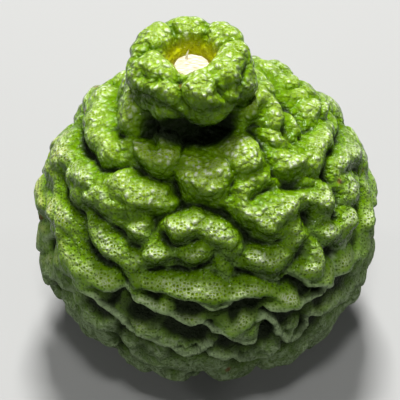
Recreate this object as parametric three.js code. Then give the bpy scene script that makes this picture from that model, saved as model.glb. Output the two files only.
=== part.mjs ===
// Bergamot orange with a warty rind, as picked, standing on its blossom end.
// Millimetres, +Z up, origin at the centre of the underside, front towards -Y.
//
// The rind is a smooth body of revolution that is raised into folds and shingle ridges and sunk at
// creases and pockets. A place on it is an azimuth and a polar angle, both in degrees. Azimuth 0 is
// the front and 90 the right-hand side. Polar 0 is the middle of the hollow where the stalk broke
// off, 13 the collar's crest, 25 the waist under the collar, 90 the belly and 180 the blossom end.

import * as THREE from 'three';
import { mergeVertices } from 'three/addons/utils/BufferGeometryUtils.js';

const { clamp, degToRad, smoothstep } = THREE.MathUtils;

// ---- driving dimensions ----

const BELLY_RADIUS = 33; // of the plain body, before its folds
const BODY_HALF_HEIGHT = 30; // of the plain body, from the belly to the blossom end
const BELLY_HEIGHT = 29.9; // above the surface that the fruit stands on
const BODY_SHIFT = [0.1, 0.3]; // puts the middle of the lumpy outline over the origin

// The profile of the hollow, collar and waist: polar angle, distance from the axis, height above
// the belly. The body follows it as an ellipse, down to the dimple at the blossom end.
const NECK_PROFILE = [
  [0, 0, 38.2], [2, 2.6, 38.2], [3.5, 4, 38.3], [4.5, 4.25, 39.3], [6, 4.7, 40.4],
  [8.5, 5.7, 41.6], [11, 7.2, 42.5], [13.5, 9.1, 42.8], [16, 10.8, 41.9], [19, 11.6, 39.4],
  [22, 11.2, 36.4], [25, 10.7, 33.8], [29, 13, 31.2],
];
const BODY_POLARS = [36, 45, 60, 75, 90, 105, 120, 135, 150, 160];
const DIMPLE_PROFILE = [[167, 7, -29], [173, 3.4, -28], [180, 0, -27.4]];
const NECK_LEAN = [-2.9, -0.6]; // how far the collar sits to the left and the front
const NECK_LEAN_HEIGHTS = [22, 36]; // the lean grows between these heights above the belly

const BLEND = 0.7; // the height over which two folds melt together
const SHINGLE_DROP = 3.2; // width of the steep side under a shingle ridge
const LOWER_SWELL = 0.9; // thickness of the rind between the shingles, over the plain body
const SWAY = { size: 1.25, length: 14 }; // bends the folds this way and that
const SAG_PIVOT = 1.2; // rind that stands higher than this sags downhill
// How far the rind sags downhill, by polar angle, as a share of its height over SAG_PIVOT.
const SAG = [[0, 0], [16, 0], [40, 0.15], [75, 0.3], [120, 0.3], [160, 0], [180, 0]];

const STUB = { radius: 3.75, top: 40.3, bottom: 38.7, chamfer: 0.4, raggedness: 0.15 };

const RIND_COLUMNS = 98;
const RIND_ROWS = 63;

// ---- folds, shingles and pockets: half width, height, path of [azimuth, polar] ----

const COLLAR_LOBES = [
  [3.7, 1.9, [[-92, 13], [-80, 14.5], [-76, 18]]],
  [2.8, 1.5, [[-56, 16], [-50, 19]]],
  [3.2, 1.7, [[-44, 13], [-34, 14.5]]],
  [4, 2, [[-14, 13], [4, 14], [14, 14]]],
  [3.2, 1.8, [[-24, 19], [-8, 20]]],
  [3, 1.8, [[10, 18.5], [22, 18.5]]],
  [3.5, 2, [[50, 13], [62, 14.5], [62, 18]]],
  [3.1, 1.6, [[88, 13], [94, 15], [88, 19]]],
  [3.7, 1.8, [[122, 13], [136, 14], [140, 18]]],
  [4, 1.8, [[172, 13], [184, 13], [178, 17]]],
  [3.6, 1.7, [[218, 13], [230, 14], [232, 18]]],
];

const WAIST_LOBES = [
  [2.7, 2.1, [[-52, 27.5], [-46, 30]]],
  [2.5, 2, [[-38, 29], [-33, 30]]],
  [2.3, 1.7, [[-28, 26], [-16, 26]]],
  [2.3, 1.5, [[4, 26], [18, 26]]],
  [2.3, 2, [[34, 27], [38, 28]]],
  [2.5, 1.9, [[50, 25], [58, 24.5]]],
  [3, 2.1, [[76, 23], [92, 23]]],
  [2.7, 1.8, [[-82, 23.5], [-70, 24]]],
  [3, 2, [[125, 23], [145, 23]]],
  [3, 2, [[175, 23], [195, 23]]],
  [3, 2, [[240, 23], [260, 24]]],
];

const LEFT_FOLDS = [
  [4.1, 3.5, [[-118, 45], [-104, 44], [-90, 42.5], [-78, 41], [-68, 39.5], [-58, 37], [-50, 35]]],
  [3.2, 2.8, [[-98, 28], [-80, 29], [-64, 31]]],
  [3.7, 3.2, [[-44, 35.5], [-34, 35], [-25, 34.5]]],
  [3.8, 2.9, [[-142, 37], [-130, 42]]],
  [3.2, 2.4, [[-128, 30], [-112, 32]]],
  [4.8, 3.3, [[-112, 58], [-93, 58], [-80, 56], [-70, 52], [-62, 49]]],
  [3.2, 2.9, [[-98, 71], [-91, 73]]],
  [4.6, 3.5, [[-60, 46.5], [-50, 44], [-40, 43], [-30, 43], [-18, 44]]],
  [3.8, 3, [[-65, 57], [-56, 56.5], [-46, 55], [-38, 55], [-28, 57]]],
  [2.8, 2.9, [[-30, 54], [-25, 54.5]]],
  [3.5, 3, [[-54, 61.5], [-43, 64], [-34, 65.5], [-27, 68]]],
  [2.7, 2.4, [[-28, 73], [-26, 74]]],
  [3.8, 3.1, [[-90, 71], [-78, 68], [-68, 68.5], [-58, 68.5], [-53, 70]]],
  [3.7, 3.1, [[-60, 76], [-50, 78], [-43, 79]]],
  [2.7, 2.3, [[-38, 78.5], [-31, 78.5]]],
  [3, 2.4, [[-84, 78], [-76, 80]]],
  [2.7, 2.6, [[-68, 81], [-62, 84.5]]],
];

const FRONT_FOLDS = [
  [4.2, 3.4, [[-13, 36.5], [-2, 35.5], [6, 35], [11, 36.5]]],
  [4.4, 3.5, [[20, 33], [27, 32.5], [34, 34.5]]],
  [2.6, 2.5, [[14, 40], [24, 38.5]]],
  [4.4, 3.6, [[-17, 51], [-8, 50], [0, 50], [8, 52]]],
  [3.2, 3.3, [[9, 52.5], [12, 55.5]]],
  [3.3, 2.9, [[-9, 60.5], [-3, 60], [2, 60.5]]],
  [3.2, 3, [[-21, 57], [-22, 61], [-18, 62.5]]],
  [2.4, 2.5, [[4, 61], [6, 65]]],
  [2.8, 2.8, [[-20, 72], [-10, 73], [0, 72.5], [8, 73.5], [18, 75.5], [25, 75.5]]],
];

const RIGHT_FOLDS = [
  [4.2, 3.3, [[14, 62.5], [20, 64.5], [27, 63.5], [31, 60]]],
  [3, 3.1, [[34, 57], [36, 53.5]]],
  [3, 2.8, [[33, 61.5], [42, 62.5]]],
  [4.6, 3.7, [[19, 47.5], [28, 48], [37, 48.5], [46, 49.5], [54, 52]]],
  [4, 3.3, [[22, 53], [30, 53]]],
  [3.2, 3.1, [[49, 47], [56, 51]]],
  [3.7, 3.3, [[41, 38], [50, 37.5], [57, 38.5]]],
  [3.7, 3.4, [[77, 41], [69, 42.5], [61, 43.5]]],
  [4, 3.2, [[105, 46.5], [95, 47.5], [84, 46.5]]],
  [4.1, 3.3, [[90, 28], [74, 29.5], [64, 31]]],
  [2.5, 2.1, [[80, 36], [86, 35]]],
  [2.5, 2.3, [[48, 31.5], [60, 34]]],
  [4.2, 3.1, [[150, 36.5], [138, 38], [126, 40]]],
  [3.4, 2.5, [[110, 30], [126, 30]]],
  [4, 3.1, [[126, 45], [117, 43]]],
  [3.6, 2.9, [[112, 38], [103, 39]]],
  [4, 3.1, [[109, 59], [98, 59], [88, 58]]],
  [4.2, 3.2, [[89, 53.5], [81, 55], [74, 55], [70, 52]]],
  [3.6, 3.3, [[77, 61], [71, 63]]],
  [4, 3.3, [[64, 66], [57, 67], [49, 66]]],
  [3.2, 2.9, [[84, 71], [80, 76], [77, 82]]],
  [3.2, 2.9, [[36, 72.5], [43, 72], [49, 71]]],
  [2.3, 1.9, [[53, 79], [61, 78]]],
  [3, 2.6, [[74, 88], [70, 94]]],
];

// Shingle ridges: the half width is their reach uphill.
const FRONT_SHINGLES = [
  [4, 3.7, [[-37, 83], [-29, 81.5], [-20, 84], [-14, 85], [-7, 88.5], [-4, 89.5], [0, 87.5], [5, 86]]],
  [4.4, 3.7, [[-46, 88], [-41, 90], [-37, 93], [-30, 95], [-20, 97], [-13, 101], [-5, 105], [0, 100.5]]],
  [2.8, 3.2, [[-38, 99], [-32, 97], [-28, 99], [-26, 104], [-20, 107]]],
  [2.8, 3, [[0, 79.5], [5, 78], [11, 75.5], [16, 76], [20, 80]]],
  [3.2, 3.4, [[20, 83], [30, 83.5], [33, 82], [38, 84], [44, 83], [48, 82]]],
  [2.6, 2.8, [[4, 91], [8, 93], [12, 95], [18, 90]]],
  [3.7, 3.4, [[22, 97], [31, 98.5], [37, 94], [38, 90]]],
  [3.5, 3.3, [[0, 100], [6, 101], [11, 104], [17, 102], [24, 106]]],
  [3.7, 3.4, [[30, 103], [40, 99], [46, 96], [53, 92], [58, 88]]],
  [2.6, 3.2, [[31, 74], [38, 77], [45, 77.5], [52, 80]]],
  [3.2, 3.2, [[-60, 88], [-54, 93], [-48, 97], [-42, 103]]],
  [3.7, 3.2, [[-36, 110], [-26, 113], [-14, 112], [-4, 115]]],
  [3.7, 3.2, [[2, 112], [12, 114], [24, 113], [34, 109]]],
  [3.5, 3.2, [[44, 108], [54, 103], [62, 98], [68, 100]]],
];

const POCKETS = [
  [3.2, 2.2, [[-30, 86], [-22, 88], [-14, 89.5], [-4, 92]]],
  [2.4, 1.6, [[-44, 91.5], [-38, 95]]],
  [2.6, 1.6, [[9, 82], [17, 83]]],
  [3.2, 2.2, [[26, 88.5], [34, 90]]],
  [2.2, 1.6, [[18, 94.5], [22, 95]]],
  [2.6, 1.8, [[43, 89], [49, 87]]],
  [2, 1.3, [[3, 95], [8, 97]]],
  [2.6, 1.6, [[28, 71], [36, 73]]],
];

// The same growth goes on round the back and underneath, in belts from one azimuth to another: how
// many folds, how long each is in degrees of polar angle, and how steeply it may run.
const BACK_FOLD_BELTS = [
  { polar: 35, from: 158, to: 214, count: 3, length: 10, steepest: 40, halfWidth: 4, height: 3.1 },
  { polar: 47, from: 134, to: 237, count: 6, length: 12, steepest: 60, halfWidth: 4, height: 3.3 },
  { polar: 59, from: 117, to: 245, count: 8, length: 12, steepest: 60, halfWidth: 3.9, height: 3.3 },
  { polar: 70, from: 94, to: 256, count: 10, length: 13, steepest: 50, halfWidth: 3.8, height: 3.2 },
  { polar: 81, from: 88, to: 276, count: 11, length: 14, steepest: 40, halfWidth: 3.6, height: 3 },
];
const SHINGLE_BELTS = [
  { polar: 92, from: 78, to: 296, count: 9, length: 20, steepest: 25, halfWidth: 4.4, height: 3.4 },
  { polar: 104, from: 70, to: 306, count: 10, length: 20, steepest: 25, halfWidth: 4.4, height: 3.3 },
  { polar: 118, from: 0, to: 360, count: 13, length: 19, steepest: 30, halfWidth: 4.2, height: 3 },
  { polar: 131, from: 8, to: 368, count: 10, length: 18, steepest: 30, halfWidth: 4.2, height: 2.8 },
];
const UNDERSIDE_BELTS = [
  { polar: 143, from: 0, to: 360, count: 9, length: 10, steepest: 60, halfWidth: 4, height: 2.2 },
  { polar: 156, from: 10, to: 370, count: 6, length: 8, steepest: 50, halfWidth: 4.2, height: 2.2 },
];

// ---- growth at random, the same each time ----

/** A scattered number from 0 to 1 for each n. */
function chance(n) {
  const scattered = Math.sin(n * 12.9898) * 43758.5453;
  return scattered - Math.floor(scattered);
}

/** A smooth wave through space of about the given length, from -1 to 1: the mean of six sines. */
function wave(point, length, seed) {
  const sines = 6;
  let sum = 0;
  for (let i = 0; i < sines; i += 1) {
    const n = 10 * seed + i;
    const rise = 2 * chance(n) - 1;
    const turn = 2 * Math.PI * chance(n + 0.3);
    const level = Math.sqrt(1 - rise * rise);
    const along = point.x * level * Math.cos(turn) + point.y * level * Math.sin(turn) + point.z * rise;
    const pace = (2 * Math.PI / length) * (0.7 + 0.7 * chance(n + 0.6));
    sum += Math.sin(along * pace + 2 * Math.PI * chance(n + 0.9));
  }
  return sum / sines;
}

/** The point moved by a smooth random amount. */
function swayed(point) {
  const shift = [1, 2, 3].map((seed) => SWAY.size * wave(point, SWAY.length, seed));
  return new THREE.Vector3(...shift).add(point);
}

/** A belt of scattered folds round the fruit, each as [half width, height, path]. */
function foldBelt({ polar, from, to, count, length, steepest, halfWidth, height }) {
  const step = (to - from) / count;
  return Array.from({ length: count }, (_, i) => {
    const seed = 10 * polar + i;
    const middle = [from + (i + 0.3 + 0.4 * chance(seed)) * step, polar + 6 * (chance(seed + 0.2) - 0.5)];
    const lean = degToRad(steepest * (2 * chance(seed + 0.4) - 1));
    const half = length * (0.3 + 0.4 * chance(seed + 0.6));
    const bow = 5 * (chance(seed + 0.8) - 0.5);
    const path = [-1, 0, 1].map((end) => [
      middle[0] + (end * half * Math.cos(lean)) / Math.sin(degToRad(middle[1])),
      middle[1] + end * half * Math.sin(lean) + bow * (1 - end * end),
    ]);
    return [halfWidth * (0.85 + 0.3 * chance(seed + 0.5)), height, path];
  });
}

// ---- the plain body ----

const knots = [
  ...NECK_PROFILE,
  ...BODY_POLARS.map((polar) => [
    polar,
    BELLY_RADIUS * Math.sin(degToRad(polar)),
    BODY_HALF_HEIGHT * Math.cos(degToRad(polar)),
  ]),
  ...DIMPLE_PROFILE,
];
const profile = new THREE.SplineCurve(knots.map(([, radius, height]) => new THREE.Vector2(radius, height)));

/** Straight-line interpolation in a list of [x, y] that reaches past x at both ends. */
function interpolate(table, x) {
  const last = table.length - 1;
  const next = clamp(table.findIndex(([knot]) => knot >= x), 1, last);
  const [x0, y0] = table[next - 1];
  const [x1, y1] = table[next];
  return y0 + (y1 - y0) * clamp((x - x0) / (x1 - x0), 0, 1);
}

const alongByPolar = knots.map(([polar], i) => [polar, i / (knots.length - 1)]);
const polarByAlong = alongByPolar.map(([polar, along]) => [along, polar]);

/** Point, downhill direction and outward direction of the plain body, at a share of its profile. */
function plainPlace(along, azimuth) {
  const spot = profile.getPoint(along);
  const slope = profile.getTangent(along);
  const turn = degToRad(azimuth);
  const out = new THREE.Vector3(Math.sin(turn), -Math.cos(turn), 0);
  const lean = smoothstep(spot.y, ...NECK_LEAN_HEIGHTS);
  const axis = new THREE.Vector3(lean * NECK_LEAN[0], lean * NECK_LEAN[1], spot.y);
  return {
    point: out.clone().multiplyScalar(spot.x).add(axis),
    downhill: out.clone().multiplyScalar(slope.x).setZ(slope.y),
    outward: out.clone().multiplyScalar(-slope.y).setZ(slope.x),
  };
}

// ---- its relief ----

/** The same fold with its path as points on the plain body. */
function placed([halfWidth, height, path]) {
  const spots = path.map(([azimuth, polar]) => plainPlace(interpolate(alongByPolar, polar), azimuth));
  return { halfWidth, height, points: spots.map(({ point }) => point) };
}

const folds = [
  ...COLLAR_LOBES, ...WAIST_LOBES, ...LEFT_FOLDS, ...FRONT_FOLDS, ...RIGHT_FOLDS,
  ...[...BACK_FOLD_BELTS, ...UNDERSIDE_BELTS].flatMap(foldBelt),
].map(placed);
const shingles = [...FRONT_SHINGLES, ...SHINGLE_BELTS.flatMap(foldBelt)].map(placed);
const pockets = POCKETS.map(placed);

/** The offset of a place from the nearest point of each segment of a path. */
function offsets(place, points) {
  return points.slice(1).map((end, i) => {
    const nearest = new THREE.Line3(points[i], end).closestPointToPoint(place, true, new THREE.Vector3());
    return nearest.sub(place).negate();
  });
}

/** How far a place is from a fold, as a share of the fold's half width. */
function foldReach(place, { halfWidth, points }) {
  return Math.min(...offsets(place, points).map((offset) => offset.length())) / halfWidth;
}

/** How far a place is from a shingle ridge, as a share of its gentle uphill or steep downhill side. */
function shingleReach(place, downhill, { halfWidth, points }) {
  return Math.min(...offsets(place, points).map((offset) => {
    const distance = offset.length();
    const side = offset.dot(downhill) / (distance + 1e-9);
    const width = halfWidth + (SHINGLE_DROP - halfWidth) * smoothstep(0.5 + 1.2 * side, 0, 1);
    return distance / width;
  }));
}

/** The soft maximum of zero and several heights. */
function softMax(heights) {
  return BLEND * Math.log1p(heights.reduce((sum, height) => sum + Math.exp(height / BLEND) - 1, 0));
}

/** Height of the rind over the plain body. */
function relief({ point, downhill }, polar) {
  const bent = swayed(point);
  const domes = folds.map((fold) => fold.height * Math.max(1 - foldReach(bent, fold) ** 2, 0));
  const ridges = shingles.map((ridge) => {
    const rise = Math.max(1 - shingleReach(bent, downhill, ridge), 0);
    return ridge.height * rise ** 1.2;
  });
  const hollows = pockets.map((pocket) => pocket.height * Math.max(1 - foldReach(bent, pocket) ** 2, 0));
  const swell = LOWER_SWELL * smoothstep(polar, 74, 86);
  const height = softMax([...domes, ...ridges, swell]) - softMax(hollows);
  return height * smoothstep(polar, 5, 10) * smoothstep(180 - polar, 0, 8);
}

/** A point of the finished rind. */
function rindPoint(along, azimuth) {
  const polar = interpolate(polarByAlong, along);
  const place = plainPlace(along, azimuth);
  const height = relief(place, polar);
  const sag = interpolate(SAG, polar) * (height - SAG_PIVOT) * smoothstep(polar, 14, 22);
  const point = place.point.addScaledVector(place.outward, height).addScaledVector(place.downhill, sag);
  point.x += BODY_SHIFT[0];
  point.y += BODY_SHIFT[1];
  point.z = Math.max(point.z + BELLY_HEIGHT, 0);
  return point;
}

// ---- solids ----

/** The geometry as a closed mesh: seams welded, triangles without area left out. */
function closed(geometry) {
  geometry.deleteAttribute('normal');
  geometry.deleteAttribute('uv');
  const welded = mergeVertices(geometry, 1e-4);
  const corners = [...welded.index.array];
  const kept = [];
  for (let i = 0; i < corners.length; i += 3) {
    const triangle = corners.slice(i, i + 3);
    if (new Set(triangle).size === 3) kept.push(...triangle);
  }
  welded.setIndex(kept);
  welded.computeVertexNormals();
  return welded;
}

/** The whole rind, with rows at even distances along its profile. */
function fruitGeometry() {
  const geometry = new THREE.SphereGeometry(1, RIND_COLUMNS, RIND_ROWS);
  const { position, uv } = geometry.attributes;
  for (let i = 0; i < position.count; i += 1) {
    const along = profile.getUtoTmapping(1 - uv.getY(i));
    const { x, y, z } = rindPoint(along, 360 * uv.getX(i));
    position.setXYZ(i, x, y, z);
  }
  return closed(geometry);
}

/** The woody plug in the floor of the hollow, with a ragged rim. */
function stubGeometry() {
  const { radius, top, bottom, chamfer, raggedness } = STUB;
  const outline = [
    [0, bottom], [radius - chamfer, bottom], [radius, bottom + chamfer],
    [radius, top - chamfer], [radius - chamfer, top], [0, top],
  ];
  const geometry = new THREE.LatheGeometry(outline.map(([x, y]) => new THREE.Vector2(x, y)), 36);
  geometry.rotateX(Math.PI / 2);
  const { position } = geometry.attributes;
  const point = new THREE.Vector3();
  for (let i = 0; i < position.count; i += 1) {
    point.fromBufferAttribute(position, i);
    const worn = 1 - (raggedness / radius) * (1 + wave(point, 3, 20));
    position.setXYZ(i, point.x * worn, point.y * worn, point.z);
  }
  return closed(geometry);
}

/** A named part of the fruit. */
function part(name, geometry, surface) {
  const mesh = new THREE.Mesh(geometry, new THREE.MeshStandardMaterial({ metalness: 0, ...surface }));
  mesh.name = name;
  return mesh;
}

const bergamot = new THREE.Group();
const fruit = part('fruit', fruitGeometry(), { color: 0x6f9a1e, roughness: 0.4 });
const stub = part('stalk_stub', stubGeometry(), { color: 0xe9dfc2, roughness: 0.85 });
stub.position.set(NECK_LEAN[0] + BODY_SHIFT[0], NECK_LEAN[1] + BODY_SHIFT[1], BELLY_HEIGHT);
bergamot.add(fruit, stub);

export default bergamot;
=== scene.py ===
import math

import bpy
import numpy as np
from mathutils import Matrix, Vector


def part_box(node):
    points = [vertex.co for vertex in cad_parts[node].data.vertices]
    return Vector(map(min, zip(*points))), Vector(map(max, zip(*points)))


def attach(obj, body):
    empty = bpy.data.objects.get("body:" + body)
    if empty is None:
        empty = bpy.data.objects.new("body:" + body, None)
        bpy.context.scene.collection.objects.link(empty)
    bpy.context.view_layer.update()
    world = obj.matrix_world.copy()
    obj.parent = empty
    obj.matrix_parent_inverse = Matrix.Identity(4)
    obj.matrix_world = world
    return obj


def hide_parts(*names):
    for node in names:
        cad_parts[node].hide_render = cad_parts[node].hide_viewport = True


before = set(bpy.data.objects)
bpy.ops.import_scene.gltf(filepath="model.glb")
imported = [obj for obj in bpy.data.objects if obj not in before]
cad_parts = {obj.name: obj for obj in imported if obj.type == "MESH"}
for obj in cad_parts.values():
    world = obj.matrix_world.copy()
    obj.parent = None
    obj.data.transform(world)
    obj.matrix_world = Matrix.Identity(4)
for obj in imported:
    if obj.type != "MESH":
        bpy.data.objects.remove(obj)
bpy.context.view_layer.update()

# ---- Rind ----
# The thick peel of a bergamot: pith under a green skin full of oil glands, in a thin coat of its own
# wax. It is one skin, from the hollow round the broken stalk, over the collar and the warty folds, to
# the blossom end. It grew that way, and is fixed to nothing.

# Millimetres and degrees. A place on the rind is an azimuth (0 front, 90 right) and a polar angle
# (0 hollow, 13 the collar's crest, 25 waist, 90 belly, 180 blossom end).
BELLY_RADIUS = 33  # of the plain body, before its folds
BODY_HALF_HEIGHT = 30
BELLY_HEIGHT = 29.9  # above the floor
BODY_SHIFT = (0.1, 0.3)

# Polar angle, distance from the axis, height above the belly.
NECK_PROFILE = [
    (0, 0, 38.2), (2, 2.6, 38.2), (3.5, 4, 38.3), (4.5, 4.25, 39.3), (6, 4.7, 40.4),
    (8.5, 5.7, 41.6), (11, 7.2, 42.5), (13.5, 9.1, 42.8), (16, 10.8, 41.9), (19, 11.6, 39.4),
    (22, 11.2, 36.4), (25, 10.7, 33.8), (29, 13, 31.2),
]
BODY_POLARS = (36, 45, 60, 75, 90, 105, 120, 135, 150, 160)
DIMPLE_PROFILE = [(167, 7, -29), (173, 3.4, -28), (180, 0, -27.4)]
NECK_LEAN = (-2.9, -0.6)  # how far the collar sits to the left and the front
NECK_LEAN_HEIGHTS = (22, 36)  # the lean grows between these heights above the belly

RIND_ROWS = 247
RIND_COLUMNS = 400

# Folds, as half width, height, and path of (azimuth, polar).
COLLAR_LOBES = [
    [3.9, 2.4, [[-84, 11.5], [-66, 12], [-44, 11.5]]],
    [3.2, 2.2, [[-78, 17.5], [-62, 18]]],
    [3.5, 2.6, [[-50, 17.6], [-32, 17.4], [-20, 17]]],
    [4.3, 2.5, [[0, 14.5], [8, 14.5], [15, 14.5]]],
    [4, 2.6, [[0, 18], [16, 18]]],
    [3.1, 3.3, [[-6, 21.5], [8, 22], [22, 21.5]]],
    [4, 2.5, [[96, 12.5], [76, 12], [54, 12.5], [40, 13.5]]],
    [3.4, 2.7, [[34, 18.8], [44, 18.8]]],
    [3.3, 2.5, [[66, 19.5], [84, 20]]],
    [3.7, 2.3, [[124, 13], [140, 13.5], [142, 18]]],
    [4, 2.5, [[172, 13], [192, 13], [184, 17]]],
    [3.8, 2.4, [[222, 13], [246, 13], [236, 18]]],
]

WAIST_LOBES = [
    [2.7, 2.4, [[-54, 27], [-47, 30]]],
    [2.8, 2.6, [[-38, 25.5], [-36, 29]]],
    [3.1, 2.6, [[-24, 24], [-20, 27]]],
    [2.5, 2.2, [[54, 25.5], [60, 28]]],
    [3, 2.1, [[76, 24], [92, 24]]],
    [2.7, 1.8, [[-82, 23.5], [-70, 24]]],
    [3, 2, [[125, 23], [145, 23]]],
    [3, 2, [[175, 23], [195, 23]]],
    [3, 2, [[240, 23], [260, 24]]],
]

LEFT_FOLDS = [
    [4.1, 3.5, [[-118, 45], [-104, 44], [-90, 42.5], [-78, 41], [-68, 39.5], [-58, 37], [-50, 35]]],
    [3.2, 2.8, [[-98, 28], [-80, 29], [-64, 31]]],
    [3.7, 3.2, [[-44, 35.5], [-34, 35], [-25, 34.5]]],
    [3.8, 2.9, [[-142, 37], [-130, 42]]],
    [3.2, 2.4, [[-128, 30], [-112, 32]]],
    [4.8, 3.3, [[-112, 58], [-93, 58], [-80, 56], [-70, 52], [-62, 49]]],
    [3.2, 2.9, [[-98, 71], [-91, 73]]],
    [4.6, 3.5, [[-60, 46.5], [-50, 44], [-40, 43], [-30, 43], [-18, 44]]],
    [3.8, 3, [[-65, 57], [-56, 56.5], [-46, 55], [-38, 55], [-28, 57]]],
    [2.8, 2.9, [[-30, 54], [-25, 54.5]]],
    [3.5, 3, [[-54, 61.5], [-43, 64], [-34, 65.5], [-27, 68]]],
    [2.7, 2.4, [[-28, 73], [-26, 74]]],
    [3.8, 3.1, [[-90, 71], [-78, 68], [-68, 68.5], [-58, 68.5], [-53, 70]]],
    [3.7, 3.1, [[-60, 76], [-50, 78], [-43, 79]]],
    [2.7, 2.3, [[-38, 78.5], [-31, 78.5]]],
    [3, 2.4, [[-84, 78], [-76, 80]]],
    [2.7, 2.6, [[-68, 81], [-62, 84.5]]],
]

FRONT_FOLDS = [
    [4.5, 4.2, [[-12, 37.5], [-2, 36.5], [6, 36], [10, 37.5]]],
    [4.5, 4, [[22, 34.5], [28, 33.5], [35, 34.5]]],
    [2.6, 2.5, [[14, 40], [24, 38.5]]],
    [4.4, 3.6, [[-17, 51], [-8, 50], [0, 50], [8, 52]]],
    [3.2, 3.3, [[9, 52.5], [12, 55.5]]],
    [3.3, 2.9, [[-9, 60.5], [-3, 60], [2, 60.5]]],
    [3.2, 3, [[-21, 57], [-22, 61], [-18, 62.5]]],
    [2.4, 2.5, [[4, 61], [6, 65]]],
    [2.8, 2.8, [[-20, 72], [-10, 73], [0, 72.5], [8, 73.5], [18, 75.5], [25, 75.5]]],
]

RIGHT_FOLDS = [
    [4.2, 3.3, [[14, 62.5], [20, 64.5], [27, 63.5], [31, 60]]],
    [3, 3.1, [[34, 57], [36, 53.5]]],
    [3, 2.8, [[33, 61.5], [42, 62.5]]],
    [4.6, 3.7, [[19, 47.5], [28, 48], [37, 48.5], [46, 49.5], [54, 52]]],
    [4, 3.3, [[22, 53], [30, 53]]],
    [3.2, 3.1, [[49, 47], [56, 51]]],
    [3.7, 3.3, [[41, 38], [50, 37.5], [57, 38.5]]],
    [3.7, 3.4, [[77, 41], [69, 42.5], [61, 43.5]]],
    [4, 3.2, [[105, 46.5], [95, 47.5], [84, 46.5]]],
    [4.1, 3.3, [[90, 28], [74, 29.5], [64, 31]]],
    [2.5, 2.1, [[80, 36], [86, 35]]],
    [2.5, 2.3, [[48, 31.5], [60, 34]]],
    [4.2, 3.1, [[150, 36.5], [138, 38], [126, 40]]],
    [3.4, 2.5, [[110, 30], [126, 30]]],
    [4, 3.1, [[126, 45], [117, 43]]],
    [3.6, 2.9, [[112, 38], [103, 39]]],
    [4, 3.1, [[109, 59], [98, 59], [88, 58]]],
    [4.2, 3.2, [[89, 53.5], [81, 55], [74, 55], [70, 52]]],
    [3.6, 3.3, [[77, 61], [71, 63]]],
    [4, 3.3, [[64, 66], [57, 67], [49, 66]]],
    [3.2, 2.9, [[84, 71], [80, 76], [77, 82]]],
    [3.2, 2.9, [[36, 72.5], [43, 72], [49, 71]]],
    [2.3, 1.9, [[53, 79], [61, 78]]],
    [3, 2.6, [[74, 88], [70, 94]]],
]

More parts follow.
